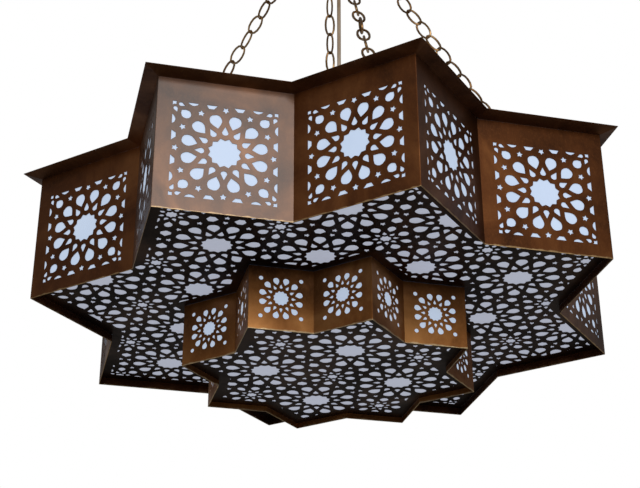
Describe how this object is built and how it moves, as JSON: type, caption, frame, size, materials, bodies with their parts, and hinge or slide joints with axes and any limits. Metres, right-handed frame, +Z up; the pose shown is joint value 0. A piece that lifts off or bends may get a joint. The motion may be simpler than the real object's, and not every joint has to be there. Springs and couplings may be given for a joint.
{
  "type": "hanging lantern",
  "caption": "Pierced brass star lantern in two tiers with opal diffusers, hung by chains from a ceiling hook and canopy, with lamps inside.",
  "frame": {"origin": "centre of the ceiling plate's flat top face, where the lantern meets the ceiling", "axes": "+Z up, along the line the lantern hangs on; star tips point to 22.5 degrees from +X and every 45 degrees on; one cross bar lies along X"},
  "size_m": [0.8246, 0.8246, 0.978],
  "materials": {
    "upper_brass": "antiqued, hand-rubbed",
    "lower_brass": "antiqued, hand-rubbed, warmer",
    "dark_brass": "antiqued nearly black",
    "chain_brass": "antiqued, worn bright on high spots",
    "opal_diffuser": "frosted opal",
    "zinc_steel": "zinc plated",
    "lampholder_plastic": "satin",
    "frosted_glass": "frosted inside",
    "lead_plastic": "satin pvc"
  },
  "bodies": {
    "ceiling": {"ceiling_plate": "zinc_steel", "plate_screw_1": "zinc_steel", "plate_screw_2": "zinc_steel", "ceiling_hook": "zinc_steel", "canopy": "chain_brass", "canopy_nut": "chain_brass", "lead_bush": "lampholder_plastic"},
    "hanger": {"top_ring": "chain_brass"},
    "lantern": {"chain_1": "chain_brass", "chain_2": "chain_brass", "chain_3": "chain_brass", "chain_4": "chain_brass", "chain_lug_1": "chain_brass", "chain_lug_2": "chain_brass", "chain_lug_3": "chain_brass", "chain_lug_4": "chain_brass", "rim_flange": "dark_brass", "upper_corner_panel_1": "upper_brass", "upper_corner_panel_2": "upper_brass", "upper_corner_panel_3": "upper_brass", "upper_corner_panel_4": "upper_brass", "upper_corner_panel_5": "upper_brass", "upper_corner_panel_6": "upper_brass", "upper_corner_panel_7": "upper_brass", "upper_corner_panel_8": "upper_brass", "lower_corner_panel_1": "lower_brass", "lower_corner_panel_2": "lower_brass", "lower_corner_panel_3": "lower_brass", "lower_corner_panel_4": "lower_brass", "lower_corner_panel_5": "lower_brass", "lower_corner_panel_6": "lower_brass", "lower_corner_panel_7": "lower_brass", "lower_corner_panel_8": "lower_brass", "upper_floor_plate": "upper_brass", "lower_floor_plate": "lower_brass", "upper_wall_diffuser": "opal_diffuser", "upper_floor_diffuser": "opal_diffuser", "lower_wall_diffuser": "opal_diffuser", "lower_floor_diffuser": "opal_diffuser", "cross_bar_x": "zinc_steel", "cross_bar_y": "zinc_steel", "centre_bolt": "zinc_steel", "junction_box": "zinc_steel", "lead_gland": "lampholder_plastic", "lead": "lead_plastic", "lamp_arm_1": "chain_brass", "lamp_arm_2": "chain_brass", "lamp_arm_3": "chain_brass", "lamp_arm_4": "chain_brass", "lampholder_1": "lampholder_plastic", "lampholder_2": "lampholder_plastic", "lampholder_3": "lampholder_plastic", "lampholder_4": "lampholder_plastic", "lampholder_5": "lampholder_plastic", "bulb_1": "frosted_glass", "bulb_2": "frosted_glass", "bulb_3": "frosted_glass", "bulb_4": "frosted_glass", "bulb_5": "frosted_glass"}
  },
  "joints": [
    {"name": "ring_swing", "type": "hinge", "parent": "ceiling", "child": "hanger", "pos_m": [0, 0, -0.0958], "axis": [1, 0, 0], "range_deg": [-12, 12], "deforming": ["lead"]},
    {"name": "lantern_swing", "type": "hinge", "parent": "hanger", "child": "lantern", "pos_m": [0, 0, -0.13], "axis": [0, 1, 0], "range_deg": [-12, 12], "deforming": ["lead"]}
  ]
}
